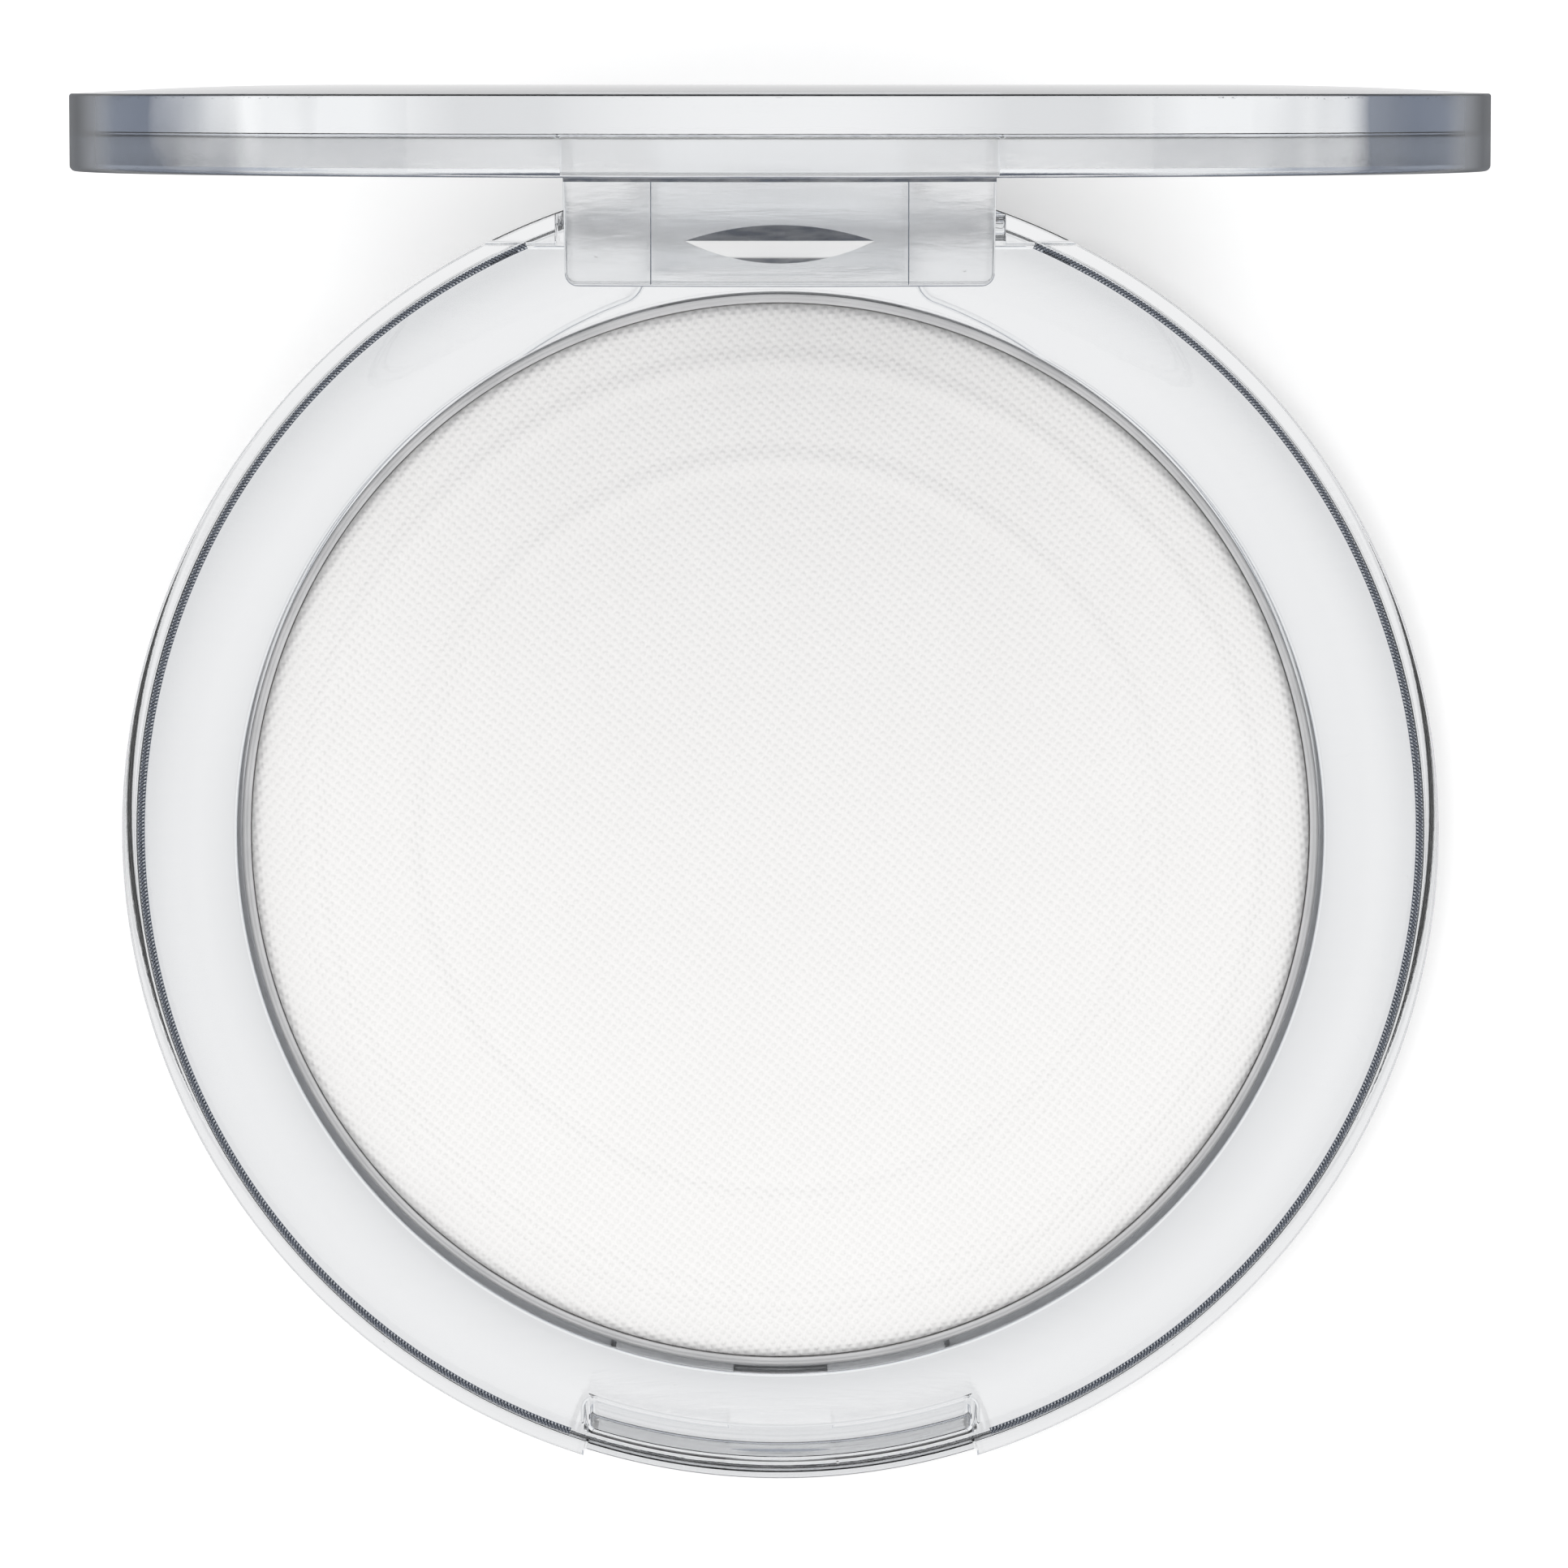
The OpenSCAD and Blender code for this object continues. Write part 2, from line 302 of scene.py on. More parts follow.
def sunk(outline, floor_z, edge):
    """Cutter down to floor_z, whose upper edge rounds off along the deck's crown and opens above it."""
    foot_r = 0.12
    counts = split_counts(outline(0))
    rings = [[(x, y, z) for x, y in split(outline(inset), counts)]
             for z, inset in edge_levels(floor_z, foot_r)]
    for angle in between(0, math.radians(60), 5):
        ring = split(outline(-edge * (1 - math.cos(angle))), counts)
        fall = edge * (1 - math.sin(angle))
        rings.append([(x, y, crown_z(math.hypot(x, y)) - fall) for x, y in ring])
    mouth = split(outline(-0.9 * edge), counts)
    rings.append([(x, y, crown_z(math.hypot(x, y)) + 0.1 * edge) for x, y in mouth])
    rings.append([(x, y, CROWN_TOP + 3) for x, y in mouth])
    return loft("cutter", rings)


def along_x(outline, levels):
    """Solid along X whose (y, z) outline(inset) changes with x, from (x, inset) pairs."""
    return loft("bar", [[(x, y, z) for y, z in outline(inset)] for x, inset in levels])


def prism(section, x_from, x_to):
    """Bar along X of one (y, z) section."""
    return along_x(lambda inset: section, [(x_from, 0), (x_to, 0)])


def rod(radius, x_from, x_to):
    """Round bar about the hinge's axis."""
    ring = [polar(radius, math.tau * i / PIN_SIDES) for i in range(PIN_SIDES)]
    return prism([(hinge.y + y, hinge.z + z) for y, z in ring], x_from, x_to)


def combine(target, tools, operation="DIFFERENCE"):
    """Applies the tools to the target one after another and removes them."""
    for tool in tools:
        change = target.modifiers.new("combine", "BOOLEAN")
        change.operation = operation
        change.solver = "MANIFOLD"
        change.object = tool
    graph = bpy.context.evaluated_depsgraph_get()
    made = bpy.data.meshes.new_from_object(target.evaluated_get(graph))
    if not made.polygons:
        raise RuntimeError(f"{target.name}: {operation.lower()} left nothing")
    target.modifiers.clear()
    target.data = made
    for tool in tools:
        bpy.data.objects.remove(tool)
    return target


OPENED = Matrix.Translation(hinge) @ Matrix.Rotation(-math.pi / 2, 4, "X") @ Matrix.Translation(-hinge)


def place(piece, name, node, material, open_lid=False):
    """Finishes a piece made in millimetres, and puts it in the frame in place of its CAD node."""
    mesh = piece.data
    if open_lid:
        mesh.transform(OPENED)
    mesh.transform(Matrix.Scale(MM, 4))
    mesh.polygons.foreach_set("use_smooth", [True] * len(mesh.polygons))
    mesh.set_sharp_from_angle(angle=CRISP)
    piece.name = mesh.name = name
    weighted = piece.modifiers.new("flat_faces", "WEIGHTED_NORMAL")
    weighted.keep_sharp = True
    mesh.materials.clear()
    mesh.materials.append(material)
    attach(piece, "lid" if open_lid else "base")
    if node:
        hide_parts(node)
    return piece


# ---- Base shell ----

def make_shell(material):
    shell = lathe("shell", fillets([
        (0, 0, 0), (BODY_R, 0, BOTTOM_R), (BODY_R, RIM_Z, 0.12), (BODY_R - SHELL_T, RIM_Z, 0.12),
        (BODY_R - SHELL_T, FLOOR_T, 0.25), (0, FLOOR_T, 0)]))

    def lug_slot(inset):
        return rectangle(-LUG_X - GAP + inset, LUG_X + GAP - inset, CHORD_Y + inset, 2 * FAR, 0.3)

    def thumb(inset):
        return sector(FAR, BODY_R - THUMB_DEPTH + inset, POCKET_X + 0.1 - inset, 0.15)

    combine(shell, [
        shaft(behind_chord, [*edge_levels(WINDOW_Z, 0.2), (FAR, 0)]),
        shaft(lug_slot, [*edge_levels(HEEL_Z - 0.1, 0.2), (FAR, 0)]),
        shaft(thumb, [*edge_levels(LEDGE_Z, 0.3), (RIM_Z - 0.1, 0), (RIM_Z + 0.1, -0.1), (FAR, -0.1)])])
    return place(shell, "outer_shell", "base_shell", material)


# ---- Inner frame ----

def frame_profile():
    """Section of the deck, its well and the notch that holds the serrated edge."""
    crown = [(r, crown_z(r), 0) for r in between(NOTCH_R, WELL_R + 0.5, 24)]
    return fillets([
        (0, FLOOR_T + AIR, 0), (FRAME_R, FLOOR_T + AIR, 0.4),
        (FRAME_R, NOTCH_Z - 0.1, 0), (NOTCH_R, NOTCH_Z, 0), *crown,
        (WELL_R, crown_z(WELL_R), 0.22), (WELL_R, FRAME_FLOOR_Z, 0.25), (0, FRAME_FLOOR_Z, 0)])


def channel(inset):
    """Outline of the low area between the pan and the hinge: a flare, two round corners, a strip."""
    corner = Vector((CHANNEL_X + CHANNEL_CORNER, 0))
    corner.y = FLARE_Y + math.sqrt((FLARE_R + CHANNEL_CORNER) ** 2 - corner.x ** 2)
    bearing = math.atan2(corner.y - FLARE_Y, corner.x)
    side = []
    for angle in between(math.radians(20), bearing, 40):
        x, y = polar(FLARE_R - inset, angle)
        side.append((x, y + FLARE_Y))
    for angle in between(bearing + math.pi, math.pi, 16)[1:]:
        x, y = polar(CHANNEL_CORNER + inset, angle)
        side.append((corner.x + x, corner.y + y))
    side.append((CHANNEL_X - inset, BODY_R + 2))
    return side + [(-x, y) for x, y in reversed(side)]


def ear_outline(inset):
    """Section of a hinge ear in Y and Z."""
    back = [(hinge.y + y, hinge.z + z)
            for y, z in (polar(BARREL_R - inset, a) for a in between(math.pi / 2, -math.pi / 2, 32))]
    return [(CHORD_Y - 1, FLOOR_T + 0.3), (CHORD_Y - 1, hinge.z + BARREL_R - inset), *back,
            (hinge.y, FLOOR_T + 0.3)]


def make_ears():
    """Two ears for the pin, kept inside the shell's outline."""
    start, edge = LUG_X + 0.05, 0.2
    levels = [*edge_levels(start, edge), *edge_levels(EAR_X, edge, sign=-1)[::-1]]
    right = along_x(ear_outline, levels)
    left = along_x(ear_outline, [(-x, inset) for x, inset in levels])
    for ear in (left, right):
        limit = lathe("limit", [(0, FLOOR_T + 0.1), (FRAME_R, FLOOR_T + 0.1), (FRAME_R, WINDOW_Z),
                                (BODY_R - SNUG, WINDOW_Z), (BODY_R - SNUG, BODY_R), (0, BODY_R)])
        combine(ear, [limit], "INTERSECT")
    return [left, right]


def make_frame(material):
    deck = lathe("deck", frame_profile())
    relief_x, relief_depth = 2.85, 0.45

    def pocket(inset):
        return sector(SLOT_OUT, POCKET_R + inset, POCKET_X - inset, 0.5 - inset)

    def front(inset):
        return sector(FAR, POCKET_R + 1 + inset, POCKET_X + 0.05 - inset, 0.3)

    def slot(inset):
        return sector(SLOT_OUT - inset, SLOT_IN + inset, SLOT_X - max(inset, -0.2), 0.35)

    def relief(inset):
        return sector(SLOT_OUT - 0.3, SLOT_IN - relief_depth + inset, relief_x - inset, 0.25)

    def lug_slot(inset):
        return rectangle(-LUG_X - GAP + inset, LUG_X + GAP - inset,
                         hinge.y - BARREL_R - GAP + inset, 2 * FAR, 0.3)

    combine(deck, [
        sunk(behind_chord, FRAME_FLOOR_Z, 0.25), sunk(channel, PLATEAU_Z, 0.4),
        sunk(pocket, POCKET_Z, 0.3), shaft(front, [(RIM_Z - GAP, 0), (FAR, 0)]),
        shaft(slot, [*edge_levels(SLOT_Z, 0.25), (POCKET_Z - 0.15, 0), (POCKET_Z - 0.06, -0.03),
                     (POCKET_Z + 0.05, -0.15), (RIM_Z - 0.35, -0.2), (RIM_Z - 0.27, -0.23),
                     (RIM_Z, -0.45), (FAR, -0.45)]),
        shaft(relief, [*edge_levels(SLOT_Z + 0.02, 0.15), (POCKET_Z - 0.1, 0), (POCKET_Z + 0.1, -0.12),
                       (POCKET_Z + 0.3, -0.12)])])
    combine(deck, make_ears(), "UNION")
    bead_x, root_y, flank = 4, -SLOT_OUT - 0.3, 0.9
    bead = [(-SLOT_OUT + SNAP_BEAD, SNAP_Z), (root_y, SNAP_Z + flank), (root_y, SNAP_Z - flank)]
    combine(deck, [prism(bead, -bead_x, bead_x)], "UNION")
    combine(deck, [shaft(lug_slot, [*edge_levels(HEEL_Z - 0.1, 0.2), (FAR, 0)]),
                   rod(PIN_R + 0.01, pin_low.x - 0.1, FAR)])
    return place(deck, "deck_frame", "inner_frame", material)


def tooth_section(teeth):
    """Section of the serrated edge as (radius, height), that many teeth along from its start."""
    foot = Vector((TOOTH_R, NOTCH_Z + 0.02))
    along, out = Vector((1, -0.25)).normalized(), Vector((0.25, 1)).normalized()
    height, depth, rows = 0.34, 0.12, 6
    section = [foot + along * TOOTH_W, foot]
    for k in range(1, rows):
        share = k / rows
        phase = (teeth + SLANT * share) % 1
        cut = depth * abs(2 * phase - 1) * min(1, 4 * share, 4 * (1 - share))
        section.append(foot + along * TOOTH_W * share + out * (height - cut))
    return section


def make_serration(material):
    """The finely toothed edge in the frame's notch, in two arcs between the pocket and the chord."""
    per_tooth = 4
    start = math.asin((POCKET_X + 0.75) / TOOTH_R) - math.pi / 2
    end = math.asin((CHORD_Y - 0.15) / TOOTH_R)
    columns = int(TEETH * per_tooth * (end - start) / math.tau)
    points, faces = [], []
    for mirror in (1, -1):
        first = len(points)
        for i in range(columns + 1):
            angle = start + (end - start) * i / columns
            section = tooth_section(i / per_tooth)
            points += [(mirror * r * math.cos(angle), r * math.sin(angle), z) for r, z in section]
        count = len(section)
        for i in range(columns):
            faces += [face[::mirror] for face in band(first + i * count, count)]
        last = first + columns * count
        faces += [tuple(range(first, first + count))[::-mirror],
                  tuple(range(last, last + count))[::mirror]]
    ring = new_object("serration", points, faces)
    return place(ring, "serrated_edge", None, material)


# ---- Pan, powder, film and pin ----

def make_pan(material):
    sheet, lip = 0.3, 0.06
    low, high = pan_low.z, pan_high.z
    pan = lathe("pan", fillets([
        (0, low, 0), (PAN_R, low, 0.45), (PAN_R, high, lip), (PAN_R - PAN_RIM, high, lip),
        (PAN_R - PAN_RIM, low + sheet, 0.2), (0, low + sheet, 0)]))
    return place(pan, "metal_pan", "powder_pan", material)


def make_powder(material):
    """Pressed cake with a soft shoulder and two low rings."""
    shoulder, width, rise = 0.7, 2.3, 0.16
    ring_radii = 20.4, 25.75
    flat = cake_high.z - rise

    def ring_height(radius):
        near = min(abs(radius - middle) for middle in ring_radii)
        return rise * (0.5 + 0.5 * math.cos(math.pi * min(1, near / (width / 2))))

    face = [(r, flat + ring_height(r), 0) for r in between(CAKE_R - shoulder - 0.3, 0, 200)]
    cake = lathe("cake", fillets([(0, cake_low.z, 0), (CAKE_R, cake_low.z, 0),
                                  (CAKE_R, flat, shoulder), *face]))
    return place(cake, "pressed_powder", "powder_cake", material)


def make_film(material):
    inner, outer, edge = 12, 24, 0.03
    low, high = glue_low.z + AIR / 2, glue_high.z - AIR / 2
    film = lathe("film", fillets([(inner, low, edge), (outer, low, edge),
                                  (outer, high, edge), (inner, high, edge)]))
    return place(film, "pan_film", "pan_adhesive", material)


def make_pin(material):
    edge, half = 0.15, pin_high.x
    profile = fillets([(0, -half, 0), (PIN_R, -half, edge), (PIN_R, half, edge), (0, half, 0)])
    pin = lathe("pin", profile, PIN_SIDES)
    pin.data.transform(Matrix.Translation(hinge) @ Matrix.Rotation(math.pi / 2, 4, "Y"))
    return place(pin, "pivot_pin", "hinge_pin", material)


# ---- Lid ----

def hollow(inset):
    """Outline of the lid's hollow: a circle that ends in a straight wall in front of the hinge."""
    radius, wall = HOLLOW_R - inset, HOLLOW_Y - inset
    bearing = math.asin(wall / radius)
    return [polar(radius, a) for a in between(math.pi - bearing, math.tau + bearing, TURN)]


def lug_outline(inset):
    """Section of the lug in Y and Z, round about the pin and square into the lid."""
    nose = [(hinge.y + y, hinge.z + z)
            for y, z in (polar(BARREL_R - inset, a) for a in between(-math.pi, 0, 40))]
    return [*nose, (BODY_R + 3, hinge.z), (BODY_R + 3, HOLLOW_Z + 0.3),
            (hinge.y - BARREL_R + inset, HOLLOW_Z + 0.3)]


def make_lug():
    levels = [*edge_levels(-LUG_X, 0.2), *edge_levels(LUG_X, 0.2, sign=-1)[::-1]]
    limit = lathe("limit", [(0, 0), (BODY_R, 0), (BODY_R, LID_SIDE_Z - 1), (0, LID_SIDE_Z - 1)])
    return combine(along_x(lug_outline, levels), [limit], "INTERSECT")


def make_tab():
    """Curved catch tab, narrower towards its tip, with rounded edges and corners."""
    tip = PARTING_Z - TAB_LEN
    edge, draft = 0.2, 0.02
    # Heights over the tip, closest together where its edge and corners round off
    heights = [0, 0.004, 0.015, 0.034, 0.06, 0.09, 0.12, 0.16, 0.2, 0.26, 0.33, 0.41, 0.5, 0.6, TAB_LEN,
               HOLLOW_Z + 0.2 - tip]
    rings = []
    for h in heights:
        thin = edge - math.sqrt(edge ** 2 - max(0, edge - h) ** 2)
        narrow = TAB_CORNER - math.sqrt(TAB_CORNER ** 2 - max(0, TAB_CORNER - h) ** 2)
        half = TAB_X - narrow - draft * max(0, TAB_LEN - h)
        rings.append([(x, y, tip + h)
                      for x, y in sector(TAB_R - thin, TAB_R - TAB_T + thin, half, 0.2)])
    return loft("tab", rings)


def witness_line(x):
    """Hair-thin groove that a mould insert leaves down the tab's face."""
    reach, half = math.sqrt(TAB_R ** 2 - x ** 2), WITNESS_W / 2
    ring = [(x - half, -reach - 0.02), (x + half, -reach - 0.02), (x, -reach + WITNESS_DEPTH)]
    return loft("cutter", [[(px, py, z) for px, py in ring]
                           for z in (PARTING_Z - TAB_LEN - 1, PARTING_Z - 0.05)])


def make_cover():
    """The lid's round cover with its hollow, before the tab and the lug are joined on."""
    crown = [(r, LID_TOP - LID_ARC + math.sqrt(LID_ARC ** 2 - (r - LID_FLAT_R) ** 2), 0)
             for r in between(BODY_R - 0.4, LID_FLAT_R, 20)]
    cover = lathe("lid", fillets([(0, PARTING_Z, 0), (BODY_R, PARTING_Z, LID_EDGE_R),
                                  (BODY_R, LID_SIDE_Z, 0.15), *crown, (0, LID_TOP, 0)]))
    lip, lip_z = 0.18, PARTING_Z + 0.22
    return combine(cover, [shaft(hollow, [(PARTING_Z - 1, -lip), (lip_z, -lip), (lip_z + lip, 0),
                                          *edge_levels(HOLLOW_Z, 0.3, sign=-1)[::-1]])])


def make_root():
    """Block that joins the tab to the lid's skirt and flares into the hollow's ceiling."""
    def outline(inset):
        return sector(HOLLOW_R + SKIRT_T / 2, TAB_R - TAB_T + inset, TAB_X - inset, 0.2)

    flare = [(z, -inset) for z, inset in edge_levels(HOLLOW_Z, 0.3, sign=-1)[::-1]]
    return shaft(outline, [*edge_levels(PARTING_Z + 0.1, 0.15), *flare, (HOLLOW_Z + 0.2, -0.3)])


def make_snap_recess():
    """Cutter for the V-shaped recess across the tab. It is as far outside the face as inside."""
    mouth = -TAB_R - SNAP_RECESS
    section = [(-TAB_R + SNAP_RECESS, SNAP_Z), (mouth, SNAP_Z + 2 * SNAP_UP),
               (mouth, SNAP_Z - 2 * SNAP_DOWN)]
    return prism(section, -TAB_X, TAB_X)


def make_root_line():
    """Cutter for the fine groove across the tab's root, just under the parting plane."""
    def outline(inset):
        return sector(TAB_R + 0.5, TAB_R - ROOT_LINE_DEPTH + inset, TAB_X + 0.2, 0.05)

    return shaft(outline, [(PARTING_Z - ROOT_LINE_LOW, 0), (PARTING_Z - ROOT_LINE_HIGH, 0)])


CLEAR, FROSTED, RECESSED, RIM = range(4)     # slots of the lid's four materials


def tab_look(centre, normal, outward, radius):
    """Slot of the material for a face of the catch tab."""
    square_on, line_side, recess_face, edge_on = 0.9, 0.97, 0.8, 0.5       # limits of outward
    slack, margin, slope = 0.02, 0.15, 0.15
    turned = abs(outward)
    depth = TAB_R - radius                     # inwards from the tab's outer face
    below = PARTING_Z - centre.z
    above = centre.z - SNAP_Z
    in_root_line = slack < depth < ROOT_LINE_DEPTH + slack and below < ROOT_LINE_LOW + slack
    in_witness_line = abs(abs(centre.x) - WITNESS_X) < WITNESS_W and depth < 2 * WITNESS_DEPTH
    level_with_recess = -SNAP_DOWN - margin < above < SNAP_UP + margin
    in_recess = 0.005 < depth < SNAP_RECESS + slack and level_with_recess
    off_recess = abs(above) > SNAP_DOWN + margin
    # the root line takes the recess material, whose painted dark reflection draws it as a dark hairline
    if outward > square_on and in_root_line:
        return RECESSED
    if turned < edge_on or (turned < square_on and depth > 0 and off_recess):
        return RIM
    # the witness lines take the rim material, whose painted dark reflection draws them as dark hairlines
    if turned < line_side and in_witness_line:
        return RIM
    if outward < -square_on:
        return FROSTED
    if outward > recess_face and abs(normal.z) > slope and in_recess:
        return RECESSED
    return CLEAR


def lid_look(centre, normal):
    """Slot of the material for a face of the closed lid, from the face's middle and normal."""
    radius = math.hypot(centre.x, centre.y)
    outward = (normal.x * centre.x + normal.y * centre.y) / max(radius, 1e-6)
    if centre.z < PARTING_Z and abs(centre.x) < TAB_X and centre.y < -WELL_R:
        return tab_look(centre, normal, outward, radius)
    at_side = radius > BODY_R - LID_EDGE_R - 0.01 and PARTING_Z + 0.005 < centre.z < LID_SIDE_Z
    at_skirt = PARTING_Z + 0.4 < centre.z < HOLLOW_Z - 0.2
    if at_side and outward > 0.05:
        return RIM
    if at_skirt and outward < -0.9:
        return FROSTED
    return CLEAR


def make_lid(*materials):
    """The whole lid. Its materials come in the order of the slots above."""
    lid = make_cover()
    combine(lid, [make_root(), make_tab(), make_lug()], "UNION")
    combine(lid, [rod(PIN_R + SNUG, -TAB_X, TAB_X), make_snap_recess(), make_root_line(),
                  witness_line(-WITNESS_X), witness_line(WITNESS_X)])
    looks = [lid_look(face.center, face.normal) for face in lid.data.polygons]
    place(lid, "clear_cover", "lid", materials[CLEAR], open_lid=True)
    for material in materials[1:]:
        lid.data.materials.append(material)
    lid.data.polygons.foreach_set("material_index", looks)
    return lid


# ---- Materials ----

STYRENE_IOR = 1.57
LID_TINT = 0.965, 0.975, 0.985


class Nodes:
    """Short helper that adds nodes to a new material."""

    def __init__(self, name):
        self.material = bpy.data.materials.new(name)
        self.material.use_nodes = True
        self.tree = self.material.node_tree
        self.shader = self.tree.nodes["Principled BSDF"]
        self.place = self.add("ShaderNodeTexCoord").outputs["Object"]

    def add(self, kind, **settings):
        node = self.tree.nodes.new(kind)
        for name, value in settings.items():
            setattr(node, name, value)
        return node

    def link(self, source, target):
        self.tree.links.new(source, target)

    def set(self, **values):
        for name, value in values.items():
            self.shader.inputs[name.replace("_", " ")].default_value = value

    def stretched(self, scale, turn=(0, 0, 0)):
        """Object coordinates in millimetres, turned and then stretched."""
        node = self.add("ShaderNodeMapping")
        self.link(self.place, node.inputs["Vector"])
        node.inputs["Scale"].default_value = [s / MM for s in scale]
        node.inputs["Rotation"].default_value = turn
        return node.outputs["Vector"]

    def noise(self, scale, detail=3, stretch=(1, 1, 1), turn=(0, 0, 0), rough=0.55):
        """Noise whose grain is 1 / scale millimetres."""
        node = self.add("ShaderNodeTexNoise")
        self.link(self.stretched(stretch, turn), node.inputs["Vector"])
        node.inputs["Scale"].default_value = scale
        node.inputs["Detail"].default_value = detail
        node.inputs["Roughness"].default_value = rough
        return node.outputs["Fac"]

    def specks(self, scale, size):
        """1 inside sparse round specks and 0 elsewhere."""
        node = self.add("ShaderNodeTexVoronoi")
        self.link(self.stretched((1, 1, 1)), node.inputs["Vector"])
        node.inputs["Scale"].default_value = scale
        return self.remap(node.outputs["Distance"], size, size * 0.4, 0, 1)

    def streaks(self, turn=(0, 0, 0)):
        """The long faint flow marks of moulded plastic."""
        return self.noise(1.2, detail=4, stretch=(0.12, 1.6, 1.6), turn=turn)

    def wave(self, vector, scale, distortion, detail, detail_scale=1.0, **kind):
        """Soft even bands or rings."""
        node = self.add("ShaderNodeTexWave", wave_profile="SIN", **kind)
        self.link(vector, node.inputs["Vector"])
        node.inputs["Scale"].default_value = scale
        node.inputs["Distortion"].default_value = distortion
        node.inputs["Detail"].default_value = detail
        node.inputs["Detail Scale"].default_value = detail_scale
        return node.outputs["Fac"]

    def remap(self, value, low, high, to_low, to_high):
        """The value, with low to high stretched to to_low to to_high and held there."""
        node = self.add("ShaderNodeMapRange")
        self.link(value, node.inputs["Value"])
        for name, number in zip(("From Min", "From Max", "To Min", "To Max"), (low, high, to_low, to_high)):
            node.inputs[name].default_value = number
        return node.outputs["Result"]

    def math(self, operation, first, second=0):
        """One sum on sockets or numbers."""
        node = self.add("ShaderNodeMath", operation=operation)
        for socket, value in zip(node.inputs, (first, second)):
            if isinstance(value, (int, float)):
                socket.default_value = value
            else:
                self.link(value, socket)
        return node.outputs["Value"]

    def mix(self, factor, first, second):
        """Blend of two colours, the first of which may come from a node."""
        node = self.add("ShaderNodeMix", data_type="RGBA")
        self.link(factor, node.inputs["Factor"])
        if isinstance(first, bpy.types.NodeSocket):
            self.link(first, node.inputs["A"])
        else:
            node.inputs["A"].default_value = (*first, 1)
        node.inputs["B"].default_value = (*second, 1)
        return node.outputs["Result"]

    def level(self, axis):
        """One of the object coordinates."""
        node = self.add("ShaderNodeSeparateXYZ")
        self.link(self.place, node.inputs["Vector"])
        return node.outputs[axis]

    def facing(self):
        """0 where the surface is seen straight on, and 1 where it is seen along itself."""
        node = self.add("ShaderNodeLayerWeight")
        node.inputs["Blend"].default_value = 0.5
        return node.outputs["Facing"]

    def bump(self, height, distance, strength=1.0, normal=None):
        """Bump of that many millimetres."""
        node = self.add("ShaderNodeBump")
        node.inputs["Strength"].default_value = strength
        node.inputs["Distance"].default_value = distance * MM
        self.link(height, node.inputs["Height"])
        if normal:
            self.link(normal, node.inputs["Normal"])
        return node.outputs["Normal"]


def clear_plastic(name, tint, streak_turn, specks):
    """Polished clear styrene: faint flow streaks and clouding, smears and a few specks of dust. Its colour
    turns slate where it turns away from view: a painted dark reflection."""
    m = Nodes(name)
    m.set(IOR=STYRENE_IOR, Transmission_Weight=1.0)
    cloudy = m.mix(m.noise(0.08, detail=2), tint, [c * 0.985 for c in tint])
    # painted dark reflection: the base colour turns slate where the surface is seen along itself
    turned = m.remap(m.facing(), 0.75, 1.0, 0, 1)
    m.link(m.mix(turned, cloudy, (0.2, 0.235, 0.3)), m.shader.inputs["Base Color"])
    dust = m.specks(*specks)
    smear = m.remap(m.noise(0.5, detail=5), 0.35, 0.75, 0.0, 0.035)
    m.link(m.math("MAXIMUM", smear, m.math("MULTIPLY", dust, 0.12)), m.shader.inputs["Roughness"])
    flow = m.bump(m.streaks(streak_turn), 0.004)
    m.link(m.bump(dust, 0.004, normal=flow), m.shader.inputs["Normal"])
    return m.material


def rim_painted_dark():
    """The lid's round side and the tab's edges. Their colour turns slate sooner than the rest, in soft
    blocks: painted dark reflections.
    """
    m = Nodes("rim_painted_dark")
    m.set(IOR=STYRENE_IOR, Transmission_Weight=1.0)
    turned = m.facing()
    blocks = m.noise(0.3, detail=1, stretch=(1, 0.3, 0.3))
    uneven = m.math("MULTIPLY", m.math("SUBTRACT", blocks, 0.5), 0.35)
    # painted dark reflection: the colour turns slate as the surface turns from view, unevenly in blocks
    shade = m.remap(m.math("ADD", turned, uneven), 0.3, 0.5, 0, 1)
    m.link(m.mix(shade, LID_TINT, (0.07, 0.085, 0.12)), m.shader.inputs["Base Color"])
    m.link(m.remap(turned, 0.6, 0.85, 0.01, 0.5), m.shader.inputs["Roughness"])
    m.link(m.bump(m.streaks(), 0.004), m.shader.inputs["Normal"])
    return m.material


def frosted_plastic():
    """The tab's back and the skirt's inner wall, with soft level streaks from the mould."""
    m = Nodes("frosted_plastic")
    m.set(IOR=STYRENE_IOR, Transmission_Weight=0.85)
    streaks = m.noise(0.9, detail=5, stretch=(0.12, 2.2, 2.2))
    m.link(m.mix(streaks, (0.975, 0.98, 0.985), (1.0, 1.0, 1.0)), m.shader.inputs["Base Color"])
    m.link(m.remap(streaks, 0.3, 0.7, 0.09, 0.16), m.shader.inputs["Roughness"])
    m.link(m.bump(streaks, 0.005), m.shader.inputs["Normal"])
    return m.material


